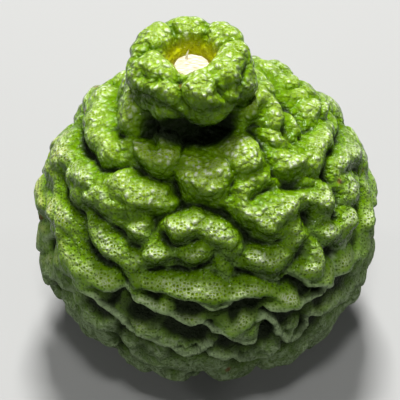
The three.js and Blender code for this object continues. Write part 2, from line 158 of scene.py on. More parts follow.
# Creases where two folds press together, as half width, depth and path.
CREASES = [
    (1.7, 1.3, [(-59.5, 15.8), (-39, 15), (-25.5, 14.2), (-15.5, 13.2)]),
    (1.7, 1.3, [(-14, 12), (-12, 15.2), (-10, 16.5), (-8.5, 18.2)]),
    (1.7, 1.3, [(29, 12.5), (28.5, 15), (27, 16.8), (31.5, 18.5)]),
    (1.4, 0.9, [(28, 16.2), (40, 16.8), (57, 17.5)]),
    (1.6, 1.3, [(76.5, 16), (58.5, 17), (51.5, 18.5), (49, 20.2)]),
    (1.7, 1.2, [(-54, 19.8), (-38, 19.9), (-22, 19.8), (-11.5, 20.6), (-5.5, 21.6)]),
    (1.6, 1.3, [(-86, 15), (-98, 12), (-96, 10), (-90, 8.5)]),
    (1, 0.6, [(-4, 18.8), (5.5, 19.2), (17, 19.2), (25.5, 19.2)]),
    (0.9, 0.5, [(-0.5, 19.8), (7.5, 20.2), (17, 20)]),
    (1.6, 1, [(161, 17), (160, 13), (158, 10.5), (154, 8)]),
    (1.6, 1, [(-150, 17), (-151, 13), (-150, 10.5), (-148, 8)]),
    (1.5, 0.9, [(112, 18), (111, 14), (110, 11), (109, 9)]),
    (1.5, 0.8, [(88, 19), (92, 20.5), (100, 21)]),
    (1.6, 0.9, [(-103.5, 33), (-94.5, 33), (-85.5, 33.5), (-80, 34.5)]),
    (2, 1.4, [(-79, 35), (-70, 34), (-62, 33), (-54.5, 32), (-49.5, 31)]),
    (2.2, 2.2, [(-114, 56.5), (-111, 57.5), (-95, 51.5), (-85, 50.5), (-78, 49), (-70, 46), (-64, 45),
        (-60.5, 45), (-54.5, 41.5), (-49, 37.5), (-44, 36.5), (-38, 37), (-31.5, 36.5), (-24.5, 36),
        (-19, 36.5)]),
    (1.4, 0.9, [(-104.5, 54), (-100.5, 48.5), (-100, 44.5)]),
    (1.6, 1.3, [(-52.5, 33.5), (-49, 34.5), (-45, 35), (-41, 36)]),
    (1.4, 0.8, [(-49.5, 31), (-43, 31.5), (-37, 32), (-33.5, 32)]),
    (1.5, 1.2, [(-95, 73), (-91.5, 74), (-85, 73), (-77.5, 70)]),
    (2, 1.8, [(-80, 61), (-75.5, 63), (-71, 64)]),
    (1.2, 0.8, [(-67.5, 56.5), (-64, 55.5), (-60, 54), (-58, 52)]),
    (1.7, 1.7, [(-15, 30.5), (-15.5, 32), (-17, 33), (-19, 34.5), (-19, 35.5), (-17, 37.5), (-15, 40)]),
    (1.4, 0.9, [(15.5, 32), (10, 32), (3, 32.5), (-1.5, 32.5), (-6.5, 33), (-11, 33), (-14.5, 33.5)]),
    (1.5, 1.4, [(18, 32), (18, 33), (18, 34), (19, 34.5), (16, 35.5), (13.5, 36.5), (12.5, 39.5)]),
    (1.4, 1.2, [(47.5, 30.5), (52, 30), (57, 30)]),
    (1.5, 1.4, [(50.5, 30.5), (50, 31.5), (47.5, 32.5), (44.5, 33.5), (42, 34.5), (41, 35.5),
        (39, 37.5)]),
    (1.3, 0.9, [(19, 34.5), (22.5, 35), (27, 35), (31.5, 35), (36, 35), (41, 34.5)]),
    (1.6, 1.5, [(101.5, 33.5), (97.5, 34.5), (94, 35.5), (87, 36), (81, 36.5), (75, 36)]),
    (1.5, 1.3, [(58, 30.5), (61.5, 31.5), (65, 32.5), (69.5, 33)]),
    (1.2, 1, [(68.5, 33), (65.5, 33.5), (64.5, 34.5), (67, 35.5), (74, 36)]),
    (1.3, 1, [(56, 30), (63.5, 29.8), (70.5, 29)]),
    (1.5, 1.4, [(85.5, 36), (83, 38), (88, 40), (95, 43.5), (104.5, 50.5)]),
    (1.2, 0.7, [(100.5, 34.5), (108, 37.5), (113.5, 43.5)]),
    (2, 2, [(109.5, 60.5), (101, 57), (93, 54), (85, 51.5), (77, 49), (71.5, 49.5), (67.5, 50.5),
        (65.5, 52.5), (66, 56), (64.5, 59), (62, 61.5), (59.5, 63), (57.5, 64.5)]),
    (1.3, 1, [(88, 48.5), (83, 49), (78.5, 49.5)]),
    (1.3, 0.9, [(49.5, 32.5), (52.5, 33.5), (57.5, 34.5), (59.5, 35.5), (63, 37), (67.5, 38)]),
    (1.6, 1.4, [(39, 37.5), (40.5, 40), (43, 43.5), (46, 44), (50, 44), (55, 44.5), (59, 48),
        (65, 51.5)]),
    (1.2, 0.9, [(50, 44), (46.5, 44.5), (45.5, 45.5)]),
    (1.8, 1.6, [(22, 42.5), (25.5, 41.5), (29, 41.5), (33, 42.5), (39, 43.5), (45, 45), (49.5, 47.5),
        (54.5, 49.5)]),
    (1.5, 1.3, [(73, 55.5), (78, 58), (84, 62), (88.5, 67), (86, 69), (82.5, 70.5)]),
    (2.2, 2.1, [(-76.5, 63), (-71.5, 64), (-67.5, 64), (-63, 64), (-59, 63.5), (-55.5, 63.5), (-54, 65),
        (-52, 67.5), (-49, 70.5)]),
    (2, 2.1, [(-50, 58.5), (-47, 59), (-43, 58.5), (-40, 59.5), (-36.5, 60), (-33, 61), (-30.5, 62),
        (-27.5, 62)]),
    (2.3, 2.4, [(-49, 71.5), (-45.5, 73), (-42.5, 74), (-39, 74.5), (-35.5, 73), (-32.5, 73.5),
        (-30.5, 76), (-29.5, 79.5)]),
    (2, 1.8, [(-76.5, 82), (-70.5, 81), (-67, 82)]),
    (1.4, 1.2, [(-65.5, 75), (-64, 79.5), (-62.5, 83), (-59.5, 84)]),
    (1.2, 1, [(-76, 92), (-68.5, 84), (-64, 80)]),
    (1.8, 1.4, [(-23.5, 50.5), (-23, 53), (-23.5, 55.5), (-24, 57.5), (-26, 60), (-27.5, 62)]),
    (1.5, 1.2, [(-38, 54.5), (-34.5, 54), (-32, 52.5), (-29, 50.5), (-25, 50.5), (-23.5, 51.5)]),
    (2, 2, [(-23, 54.5), (-22, 51.5), (-19.5, 49), (-16.5, 47), (-12, 44.5), (-7.5, 43.5), (-3, 43.5),
        (2, 44.5), (6.5, 47), (11, 50), (14, 52.5), (16, 55.5), (18, 57.5), (22, 59), (26, 60),
        (29.5, 59.5)]),
    (1.6, 1.5, [(-19, 36.5), (-16.5, 39.5), (-13.5, 42.5), (-12, 44.5)]),
    (1.6, 1.6, [(7.5, 45), (10.5, 48), (13.5, 50.5), (16, 53.5)]),
    (1.6, 1.5, [(16.5, 55.5), (16.5, 57.5), (14.5, 59), (13, 60.5), (12, 62.5)]),
    (1.8, 1.9, [(-18, 56), (-15.5, 58), (-13, 59), (-10, 58), (-7, 56.5), (-3, 55)]),
    (1.6, 1.6, [(-17, 57.5), (-14.5, 59.5), (-13, 61.5), (-13, 64), (-15, 65.5), (-17.5, 67.5)]),
    (1.2, 0.9, [(-23, 54.5), (-21, 55), (-18, 56)]),
    (2.2, 2.4, [(-21.5, 70.5), (-18, 69.5), (-14.5, 69), (-11, 68.5), (-7.5, 68.5), (-4, 67.5),
        (-1, 66),
        (1.5, 64.5), (3, 62)]),
    (1.5, 1.6, [(5, 59.5), (6.5, 62), (8.5, 64), (10, 66.5), (12, 69.5)]),
    (2, 2, [(12, 69.5), (15.5, 70.5), (19, 72), (22.5, 74.5), (26, 77)]),
    (1.4, 1.1, [(3, 68.5), (5, 69), (7.5, 71), (10, 71)]),
    (1.5, 1.3, [(61.5, 62), (66, 65), (70.5, 69.5), (76, 73.5)]),
    (1.2, 0.9, [(31.5, 55), (35, 54), (39, 54), (42, 53), (44, 55.5), (45, 57)]),
    (1.2, 0.9, [(44, 51.5), (42.5, 53.5)]),
    (1.8, 1.7, [(45, 57), (44.5, 59.5), (44.5, 62.5), (45.5, 65.5), (46, 68.5), (47.5, 72), (50, 76)]),
    (1.4, 1.2, [(44.5, 63.5), (47.5, 62), (51.5, 61.5), (55.5, 63), (58.5, 65)]),
    (2, 2.1, [(50, 76), (52, 78.5), (55.5, 79), (59.5, 80), (64, 81.5), (67.5, 80.5), (70, 79),
        (73, 77),
        (76, 75.5)]),
    (1.2, 1.1, [(82.5, 70.5), (79, 74.5)]),
    (1.4, 1.2, [(50, 76), (51, 80.5), (50, 83), (48.5, 85.5)]),
    (1.9, 1.9, [(36.5, 68.5), (33.5, 70.5), (31.5, 71.5), (29, 72.5), (27, 74.5)]),
    (1.3, 1, [(28, 73.5), (30, 73.5), (32.5, 75.5), (33, 78.5)]),
    (1.4, 1, [(37, 66), (38.5, 68), (38.5, 70.5)]),
]

# Edges of the shingles on the lower half, as half width, depth and path. The scoop under an edge
# reaches SCOOP_REACH times the half width downhill.
FRONT_SHINGLES = [
    (3, 2.6, [(-66, 101), (-62.5, 101), (-58, 99.5), (-53.5, 98), (-51, 99)]),
    (4.6, 3.6, [(-48.5, 87.5), (-46, 88.5), (-44, 87.5), (-42, 88), (-40, 88), (-38, 90), (-36, 91),
        (-34.5, 92), (-32.5, 93.5), (-30.5, 94.5), (-29, 96)]),
    (4.4, 3.4, [(-27.5, 97.5), (-25.5, 98.5), (-21.5, 97), (-19.5, 98.5), (-18, 100.5), (-15, 100.5),
        (-12.5, 100.5), (-10, 103.5), (-6.5, 104), (-3, 103.5), (-1, 100.5), (1, 97.5)]),
    (5, 3.9, [(-34.5, 82.5), (-33, 83), (-29, 81.5), (-27.5, 82.5), (-25, 83.5), (-22, 83.5),
        (-19.5, 83.5), (-17.5, 84.5), (-14.5, 84.5), (-12.5, 85.5), (-10.5, 86.5), (-8, 88), (-6.5, 89),
        (-4, 89), (-2, 87.5)]),
    (4.4, 3.4, [(-2, 87.5), (0, 90), (2, 92), (4.5, 92.5), (7, 93.5), (9.5, 96), (12.5, 99),
        (15.5, 100)]),
    (4, 3.5, [(-18.5, 78), (-16, 77.5), (-14, 77), (-11.5, 78), (-9, 78.5), (-7, 78), (-6, 77),
        (-4, 77.5), (-2, 79), (0, 80.5), (2, 81.5), (4.5, 81.5)]),
    (4.2, 3.5, [(4.5, 81.5), (6.5, 80.5), (7.5, 79.5), (8.5, 78), (11, 78), (12.5, 77.5), (15, 78.5),
        (18, 80.5)]),
    (3.6, 3, [(18, 89.5), (20.5, 90.5), (22.5, 93)]),
    (4.4, 3.4, [(22.5, 93), (24.5, 98.5), (28, 104), (32.5, 108.5), (36, 108.5), (37, 106), (38, 101.5),
        (39, 99)]),
    (4.2, 3.4, [(39, 99), (41.5, 99.5), (45, 101.5), (48.5, 101), (53.5, 104), (59, 106), (61.5, 104)]),
    (4.4, 3.7, [(22.5, 86.5), (25, 86), (28.5, 87), (31.5, 87), (33.5, 87.5), (36.5, 90), (39.5, 91),
        (42, 91), (44, 89.5), (44.5, 86.5), (46, 86), (49, 86.5), (52, 87), (57, 87.5)]),
    (3, 2.6, [(31, 76), (33, 77.5), (35.5, 79.5), (36, 82)]),
    (3, 2.4, [(38, 82.5), (41, 84), (44, 85.5)]),
    (4, 3, [(1, 103.5), (5.5, 105.5), (9, 107), (12, 111), (16, 114.5), (19, 114), (22.5, 112.5),
        (25.5, 108.5)]),
    (3.6, 3, [(-46.5, 114), (-43.5, 116), (-39.5, 115.5), (-36, 115)]),
]

# Webs that tie one lip to the next, as half width and path.
WEBS = [
    (1.7, [(-14.5, 86), (-15.5, 89), (-18.5, 93), (-21, 97)]),
    (1.7, [(-28.5, 83), (-29.5, 87.5), (-31, 92.5), (-31, 96)]),
    (1.8, [(-2, 88), (0, 86), (2, 84), (4, 82.5)]),
    (1.7, [(-0.5, 102.5), (1.5, 98.5), (1.5, 95.5), (2, 93)]),
    (1.8, [(-21, 115.5), (-17.5, 106), (-15.5, 102)]),
    (1.7, [(13.5, 95), (15.5, 94.5), (17, 92.5), (18.5, 91)]),
    (1.7, [(-37, 82), (-36.5, 85.5), (-38.5, 91)]),
    (1.6, [(-13, 79), (-13, 82), (-14, 85)]),
    (1.6, [(-46, 90.5), (-48, 95.5), (-50, 100)]),
    (1.6, [(37.5, 91.5), (38, 95), (39, 100.5)]),
    (1.5, [(-37, 104), (-33, 99), (-30.5, 97)]),
    (1.5, [(-27.5, 102), (-28, 107)]),
    (1.6, [(6, 81.5), (5, 86), (4, 90.5)]),
    (1.5, [(25.5, 100.5), (24.5, 104), (24, 108)]),
]

# Pockets under the collar and the lips, as half width, depth and path.
POCKETS = [
    (5.6, 4.2, [(-12, 27.6), (4, 28.4), (20, 28.4), (34, 27.4)]),
    (4.8, 3.2, [(-46, 29), (-36, 29), (-24, 28.5), (-12, 28)]),
    (4, 2.4, [(-35, 88), (-31.5, 88), (-28.5, 89)]),
    (4, 2.6, [(-25.5, 89), (-22, 90), (-19, 90)]),
    (4.4, 2.9, [(-16.5, 91), (-12.5, 92.5), (-9.5, 94), (-6, 95.5), (-2, 94.5)]),
    (3.4, 2.2, [(-10, 82.5), (-6.5, 81.5), (-3.5, 83)]),
    (3.4, 2.4, [(9, 82), (11.5, 81.5), (14.5, 82.5)]),
    (3.2, 2.2, [(21.5, 97), (22.5, 99.5)]),
    (4, 2.6, [(29, 92.5), (33, 93.5), (37, 95.5)]),
    (3, 2.2, [(51, 95.5), (54.5, 96), (58.5, 97.5)]),
    (2.4, 1.8, [(33.5, 81), (35.5, 83.5)]),
    (2.4, 1.7, [(41.5, 89), (45, 91)]),
    (3.4, 2.2, [(-45.5, 95.5), (-42, 95.5), (-39.5, 97.5)]),
    (3.2, 2, [(-35.5, 106), (-33.5, 108.5), (-33.5, 114)]),
    (2.6, 1.6, [(-23, 109), (-20.5, 110)]),
    (2.4, 1.5, [(5, 98), (8.5, 101), (12, 103.5)]),
    (2, 1.2, [(1.5, 88), (3.5, 89)]),
    (2.4, 1.6, [(-57.5, 90.5), (-55.5, 93), (-53, 94.5)]),
    (2, 1.3, [(51.5, 91.5), (47, 92)]),
    (1.8, 1.2, [(17, 107), (21, 112.5)]),
]

# Single warts on the collar, as half width, height and path.
WARTS = [
    (0.9, 0.6, [(23.5, 18), (28, 18.5)]),
    (0.9, 0.7, [(35, 18.2), (41.5, 18.8)]),
    (0.8, 0.5, [(9, 17.2), (10.5, 17.2)]),
    (0.9, 0.6, [(-45.5, 16.5), (-41.5, 16)]),
    (0.9, 0.6, [(-35.5, 16.8), (-33, 16.5)]),
    (0.8, 0.5, [(-28.5, 15), (-25, 14.8)]),
    (0.9, 0.6, [(50, 15.5), (52, 16)]),
    (0.8, 0.5, [(49, 18), (50.5, 18.2)]),
    (0.8, 0.5, [(15.5, 17.8), (20.5, 17.8)]),
]

# The same growth goes on round the back and underneath, in belts of scattered folds: polar angle,
# azimuth from and to, number of folds, length and steepest lean in degrees, half width, height.
BACK_FOLD_BELTS = [
    (35, 158, 214, 3, 10, 40, 4, 3.1),
    (47, 134, 237, 6, 12, 60, 4, 3.3),
    (59, 117, 245, 8, 12, 60, 3.9, 3.3),
    (70, 94, 256, 10, 13, 50, 3.8, 3.2),
    (81, 88, 276, 11, 14, 40, 3.6, 3),
    (91, 74, 286, 12, 13, 50, 3.6, 2.9),
    (101, 72, 290, 12, 14, 50, 3.7, 2.8),
    (112, 70, 292, 11, 14, 50, 3.7, 2.6),
]

UNDERSIDE_BELTS = [
    (123, 0, 360, 17, 13, 50, 3.6, 2.6),
    (134, 9, 369, 14, 12, 60, 3.5, 2.5),
    (145, 0, 360, 11, 10, 60, 3.5, 2.3),
    (157, 10, 370, 7, 8, 60, 3.4, 2.2),
    (170, 0, 360, 4, 4, 60, 2.8, 1.8),
]


def smooth(share):
    """An S-shaped step from 0 to 1: three times the square less twice the cube of the clipped share."""
    share = np.clip(share, 0, 1)
    return share * share * (3 - 2 * share)


def rise(values, start, end):
    """The S-shaped step from 0 where the values are at start to 1 where they are at end."""
    return smooth((values - start) / (end - start))


def chance(n):
    """A scattered number from 0 to 1 for each n: the fraction of 43758.5453 sin(12.9898 n)."""
    scattered = np.sin(np.asarray(n) * 12.9898) * 43758.5453
    return scattered - np.floor(scattered)


def wave(places, length, seed):
    """A smooth wave through space, from -1 to 1, of about the given length.

    The mean of six sines of distance along a scattered direction, each with its own pace and start.
    """
    n = 10 * seed + np.arange(6)
    upright, turn = 2 * chance(n) - 1, 2 * np.pi * chance(n + 0.3)
    level = np.sqrt(1 - upright**2)
    directions = np.stack([level * np.cos(turn), level * np.sin(turn), upright])
    pace = 2 * np.pi / length * (0.7 + 0.7 * chance(n + 0.6))
    return np.sin(places @ directions * pace + 2 * np.pi * chance(n + 0.9)).mean(-1)


def swayed(places, size, length, seed):
    """The places moved by three waves, one along each axis."""
    return places + size * np.stack([wave(places, length, seed + i) for i in range(3)], -1)


def domes(places, size, seed):
    """Round domes that crowd together, from 0 in the valleys to about 1 on top.

    Space is cut into cubes of that size with one scattered point in each. Over the place's own cube
    and the 26 round it, the exponentials of -9 times the squared distance, as shares of size, are
    added up, and 1 plus a fifth of the sum's logarithm is the height.
    """
    spots = places / size
    cube = np.floor(spots)
    mixes = np.array([[12.9898, 78.233, 37.719], [39.3468, 11.135, 83.155], [73.156, 52.235, 9.151]])
    total = np.zeros(spots.shape[:-1])
    for step in np.ndindex(3, 3, 3):
        corner = cube + np.array(step) - 1
        scatter = np.modf(np.abs(np.sin(corner @ mixes.T + seed) * 43758.5453))[0]
        total += np.exp(-9 * ((spots - corner - 0.1 - 0.8 * scatter)**2).sum(-1))
    return 1 + 0.2 * np.log(total + 1e-6)


knots = np.array(
    NECK_PROFILE
    + [(p, BELLY_RADIUS * math.sin(math.radians(p)), BODY_HALF_HEIGHT * math.cos(math.radians(p)))
       for p in BODY_POLARS]
    + DIMPLE_PROFILE
)


def profile(polar):
    """Distance from the axis and height of the plain body at a polar angle, and their slopes.

    A Catmull-Rom curve through the knots: between two of them a cubic whose slope at each knot is
    half the step from the knot before to the knot after.
    """
    along = np.interp(polar, knots[:, 0], np.arange(len(knots)))
    i = np.clip(along.astype(int), 0, len(knots) - 2)
    t = (along - i)[..., None]
    before, start = knots[np.maximum(i - 1, 0), 1:], knots[i, 1:]
    end, after = knots[i + 1, 1:], knots[np.minimum(i + 2, len(knots) - 1), 1:]
    v0, v1 = (end - before) / 2, (after - start) / 2
    a, b = 2 * start - 2 * end + v0 + v1, -3 * start + 3 * end - 2 * v0 - v1
    return ((a * t + b) * t + v0) * t + start, (3 * a * t + 2 * b) * t + v0


def plain_place(azimuth, polar):
    """Point, downhill direction and outward direction of the plain body.

    The profile is turned about the upright axis, which leans aside smoothly up to the collar.
    """
    spot, slope = profile(polar)
    slope = slope / np.linalg.norm(slope, axis=-1, keepdims=True)
    turn = np.radians(azimuth)
    x, y = np.sin(turn), -np.cos(turn)
    low, high = NECK_LEAN_HEIGHTS
    lean = rise(spot[..., 1], low, high)
    point = np.stack([spot[..., 0] * x + lean * NECK_LEAN[0], spot[..., 0] * y + lean * NECK_LEAN[1],
                      spot[..., 1]], -1)
    downhill = np.stack([slope[..., 0] * x, slope[..., 0] * y, slope[..., 1]], -1)
    outward = np.stack([-slope[..., 1] * x, -slope[..., 1] * y, slope[..., 0]], -1)
    return point, downhill, outward


FAR = 9.0  # a share of a fold's width at which it no longer counts


def reach(places, downhill, path, up, down):
    """Distance from the places to a path, as a share of its width uphill or downhill of it.

    The nearest point of each stretch is at the clipped share (place - start).stretch/|stretch|^2,
    and the least of distance over width counts.
    """
    points = plain_place(*np.array(path, float).T)[0]
    nearest = np.full(places.shape[:-1], FAR)
    for start, end in zip(points[:-1], points[1:]):
        stretch = end - start
        share = np.clip((places - start) @ stretch / (stretch @ stretch), 0, 1)
        offset = places - start - share[..., None] * stretch
        distance = np.linalg.norm(offset, axis=-1)
        side = (offset * downhill).sum(-1) / (distance + 1e-9)
        nearest = np.minimum(nearest, distance / (up + (down - up) * smooth(0.5 + 1.2 * side)))
    return nearest


def belt(polar, first, last, count, length, steepest, half_width, height):
    """A belt of scattered folds: each is an arc of three points, leaning and bowed by chance."""
    folds = []
    for i in range(count):
        seed = 10 * polar + i
        azimuth = first + (i + 0.3 + 0.4 * chance(seed)) * (last - first) / count
        middle = polar + 6 * (chance(seed + 0.2) - 0.5)
        lean = np.radians(steepest * (2 * chance(seed + 0.4) - 1))
        half = length * (0.3 + 0.4 * chance(seed + 0.6))
        bow = 5 * (chance(seed + 0.8) - 0.5)
        path = [(azimuth + end * half * np.cos(lean) / np.sin(np.radians(middle)),
                 middle + end * half * np.sin(lean) + bow * (1 - end * end)) for end in (-1, 0, 1)]
        folds.append([half_width * (0.85 + 0.3 * chance(seed + 0.5)), height, path])
    return folds


FOLDS = COLLAR_LOBES + WAIST_LOBES + LEFT_FOLDS + FRONT_FOLDS + RIGHT_FOLDS
for row in BACK_FOLD_BELTS + UNDERSIDE_BELTS:
    FOLDS += belt(*row)

# Rows at even distances along the profile, and one point at each pole.
finest = np.linspace(0, 180, 4001)
steps = np.linalg.norm(np.diff(profile(finest)[0], axis=0), axis=1)
walked = np.concatenate([[0], np.cumsum(steps)])
rows = np.linspace(0, walked[-1], RIND_ROWS + 2)
row_polars = np.interp(rows, walked, finest)
azimuths = np.arange(RIND_COLUMNS) * 360 / RIND_COLUMNS
azimuth, polar = np.meshgrid(azimuths, row_polars)


def blurred(values, radius):
    """The values on the rind's grid, averaged over about that radius in millimetres.

    Along a row each wave is weakened by exp(-(turns times radius over distance from the axis)^2/2);
    down the columns the weights are exp(-(distance over radius)^2/2).
    """
    turns = np.arange(RIND_COLUMNS // 2 + 1)
    axis_distance = np.maximum(profile(row_polars)[0][:, :1], 0.5)
    kept = np.exp(-0.5 * (turns * radius / axis_distance)**2)
    level = np.fft.irfft(np.fft.rfft(values, axis=1) * kept, RIND_COLUMNS, axis=1)
    weights = np.exp(-0.5 * ((rows[:, None] - rows[None, :]) / radius)**2)
    return weights / weights.sum(1, keepdims=True) @ level


# Heights and depths of the relief in millimetres. Polar angles and azimuths are in degrees.
BLEND = 0.7  # height over which two folds melt together
SOFTNESS = 0.6  # over which the folds' edges are rounded
SKIN = 0.7  # the skin between folds
LOW_SKIN = 2.8  # added below the belly, for the scoops to be cut from
PILLOW_HEIGHT, PILLOW_FOOT = 1.15, 1.35  # shares of a fold's listed height and half width
MEETING = 2.4  # depth of the crease between two folds that meet, where none is listed
DEEPEST = 5.5  # depth that crossing creases come near to
CREASE_DEPTH, CREASE_REACH = 1.9, 2.7  # shares of a crease's listed depth and half width
LIP_WIDTH = 1.5  # how far uphill of its edge a shingle's lip stands
LIP_HEIGHT = 0.25
SCOOP_REACH = 1.2
PIT_SIZE = 7.5  # of the scattered pits at the back and underneath
DOME_SIZES = (10, 5.2, 2.6, 1.8)
LOWERED = 2  # taken off the whole relief
WILD_SWELL = 2  # added to the wild rind under the belly
TUCKED = 3.3  # how far the underside is drawn in, so that the fruit stands on the floor
WILD_THINNING = 0.65  # share of LOW_SKIN that the wild rind lacks
BACK_TURN = (85, 110)  # azimuths either way from the front, between which the back begins
WILD_TURN, WILD_BELLY, WILD_UNDER = (58, 72), (78, 88), (115, 123)  # and the wild rind


def shoulder(share):
    """Depth of a crease at a share of its reach: one less a quarter circle, so a cusp at share 0."""
    return 1 - np.sqrt(np.clip(1 - np.clip(1 - share, 0, None)**2, 0, None))


def relief(places, downhill, azimuth, polar):
    """Height of the rind over the plain body, and its scoops and lips as shares from 0 to 1.

    Folds are pillows on a thick skin: where several overlap, the height is BLEND times the logarithm
    of the sum of their exponentials, then averaged over SOFTNESS. Creases are cut into them with
    quarter circles for shoulders, where they are listed and, most of all at the back and in the wild
    rind, where a place is as near to one fold as to the next. On the lower half the skin is scooped
    out under each lip: steeply at the lip and ever more gently downhill. Lips and webs stay standing
    across the scoops, and pockets deepen them. The wild rind, on the flanks below the belly and
    underneath, has round pits as well. A short wave ruffles the lips, and domes of four sizes stand
    close together all over.
    """
    bent = swayed(swayed(places, 1.0, 14, 1), 0.4, 5.2, 4)
    little_bent = swayed(swayed(places, 0.4, 5.2, 4), 0.15, 1.8, 14)
    lip_bent = swayed(places, 0.5, 4.5, 24)
    body = rise(polar, 28, 36)
    turned = np.abs(np.mod(azimuth + 180, 360) - 180)
    back = rise(turned, *BACK_TURN)
    wild = np.maximum(rise(turned, *WILD_TURN) * rise(polar, *WILD_BELLY), rise(polar, *WILD_UNDER))
    skin = body * (SKIN + LOW_SKIN * rise(polar, 72, 82) * (1 - WILD_THINNING * wild))
    total = np.exp(skin / BLEND)
    nearest = np.full(places.shape[:-1], FAR)
    second = nearest.copy()
    for half_width, height, path in FOLDS:
        share = reach(bent, downhill, path, half_width, half_width)
        pillow = np.clip(1 - (share / PILLOW_FOOT)**3, 0, None)**0.6
        total += np.exp(PILLOW_HEIGHT * height * pillow / BLEND) - 1
        second = np.minimum(second, np.maximum(share, nearest))
        nearest = np.minimum(nearest, share)
    height = blurred(BLEND * np.log(total), SOFTNESS)

    where = np.maximum(1 - rise(polar, 84, 92), wild) * (0.35 + 0.65 * rise(polar, 20, 26))
    cut = MEETING * shoulder((second - nearest) / 1.1) * smooth((1.35 - nearest) / 0.5)
    left = 1 - cut / DEEPEST * where * (0.25 + 0.75 * np.maximum(back, wild))
    for half_width, depth, path in CREASES:
        width = CREASE_REACH * half_width
        share = reach(little_bent, downhill, path, width, width)
        left *= 1 - CREASE_DEPTH * depth / DEEPEST * shoulder(share)
    height -= DEEPEST * (1 - left)

    lip = np.zeros_like(height)
    for _, _, path in CREASES:
        if max(p for _, p in path) > 50:
            share = reach(little_bent, downhill, path, 1.5, 0.15)
            lip = np.maximum(lip, smooth(1.5 * (1 - share)))
    lip *= rise(polar, 48, 62)
    standing = np.zeros_like(height)
    for half_width, path in WEBS:
        share = reach(lip_bent, downhill, path, half_width, half_width)
        standing = np.maximum(standing, 0.7 * smooth(1.5 - share))
    left = np.ones_like(height)
    for half_width, depth, path in FRONT_SHINGLES:
        share = reach(lip_bent, downhill, path, LIP_WIDTH, 0.5)
        standing = np.maximum(standing, 1.1 * smooth(1.5 * (1 - share)))
        lip = np.maximum(lip, smooth(2.2 * (1 - share)))
        share = reach(lip_bent, downhill, path, 0.7, SCOOP_REACH * half_width)
        left *= 1 - 0.2 * depth * np.clip(1 - share, 0, None)**0.9
    for half_width, depth, path in POCKETS:
        share = reach(lip_bent, downhill, path, half_width, half_width)
        left *= 1 - 0.18 * depth * np.clip(1 - share**2, 0, None)**2
    pits = smooth((domes(lip_bent * (1, 1, 1.5), PIT_SIZE, 6) - 0.62) / 0.34)
    left *= 1 - 0.55 * wild * pits
    scooped = (1 - left) * (1 - 0.65 * standing)
    height -= DEEPEST * scooped
    height += LIP_HEIGHT * lip * (1 + 0.7 * wave(places, 2.2, 40))

    for half_width, bump, path in WARTS:
        share = reach(little_bent, downhill, path, half_width, half_width)
        height += bump * np.clip(1 - share**2, 0, None)
    below_collar = rise(polar, 22, 30)
    largest, large, small, smallest = DOME_SIZES
    height += 0.8 * domes(bent, largest, 3) + (0.4 + 0.5 * below_collar) * domes(little_bent, large, 1)
    upper_half = 1 - rise(polar, 60, 90)
    warty = (0.3 - 0.1 * below_collar) * upper_half * domes(little_bent, smallest, 5)
    height += 0.3 * domes(places, small, 2) + warty - LOWERED
    height += WILD_SWELL * wild * rise(polar, 94, 108) - TUCKED * rise(polar, 118, 152)
    return height * rise(polar, 5, 10) * smooth((180 - polar) / 8), scooped, lip


# Sag downhill, by polar angle, as a share of the height over SAG_PIVOT: lips and folds overhang the
# pockets and creases under them.
SAG = [
    (0, 0), (16, 0), (24, 0.15), (40, 0.35), (70, 0.4), (85, 0.45), (120, 0.45), (160, 0.1), (180, 0),
]
SAG_PIVOT = 2.4
FLOOR_SOFTNESS = 0.2  # mm over which the underside is pressed flat


def rind_points(azimuth, polar):
    """Points of the finished rind, its height over the plain body, and its scoops and lips.

    The plain point moves outwards by the relief, and downhill by the sag. Nothing reaches below the
    floor: a point's height z becomes FLOOR_SOFTNESS times the logarithm of 1 plus the exponential of
    z over FLOOR_SOFTNESS.
    """
    point, downhill, outward = plain_place(azimuth, polar)
    height, scooped, lip = relief(point, downhill, azimuth, polar)
    sag = np.interp(polar, *np.array(SAG).T) * (blurred(height, 0.7) - SAG_PIVOT) * rise(polar, 14, 22)
    point = point + outward * height[..., None] + downhill * sag[..., None]
    point += (*BODY_SHIFT, BELLY_HEIGHT)
    point[..., 2] = FLOOR_SOFTNESS * np.log(1 + np.exp(point[..., 2] / FLOOR_SOFTNESS))
    return point, height, scooped, lip


points, height, scooped, lip = rind_points(azimuth, polar)
crest = height - blurred(height, 2.2)


def upward(points):
    """How far the grid of points faces up, from -1 to 1: the upright part of the surface's normal."""
    normal = np.cross(np.gradient(points, axis=0), np.roll(points, -1, 1) - np.roll(points, 1, 1))
    return normal[..., 2] / (np.linalg.norm(normal, axis=-1) + 1e-9)


turned_up = blurred(upward(points), 0.5)


def closed_faces(row_count, column_count):
    """Faces of a grid that is closed round its columns and ends in one point at the top and bottom."""
    grid = 1 + np.arange(row_count * column_count).reshape(row_count, column_count)
    beside = np.roll(grid, -1, 1)
    quads = np.stack([grid[:-1], grid[1:], beside[1:], beside[:-1]], -1).reshape(-1, 4)
    last = 1 + row_count * column_count
    top = np.stack([np.zeros(column_count, int), grid[0], beside[0]], -1)
    bottom = np.stack([np.full(column_count, last), beside[-1], grid[-1]], -1)
    return quads.tolist() + top.tolist() + bottom.tolist()


def poled(grid):
    """Grid values as one list, with the first and last row as one point each."""
    return np.concatenate([grid[:1, 0], grid[1:-1].reshape(-1, *grid.shape[2:]), grid[-1:, 0]])


MM_PER_M = 1000


def piece(name, points, faces, material):
    """A smooth-shaded mesh object in metres, from points in millimetres."""
    mesh = bpy.data.meshes.new(name)
    mesh.from_pydata((points / MM_PER_M).tolist(), [], faces)
    mesh.polygons.foreach_set("use_smooth", np.ones(len(mesh.polygons), bool))
    mesh.materials.append(material)
    mesh.update()
    thing = bpy.data.objects.new(name, mesh)
    bpy.context.scene.collection.objects.link(thing)
    return thing


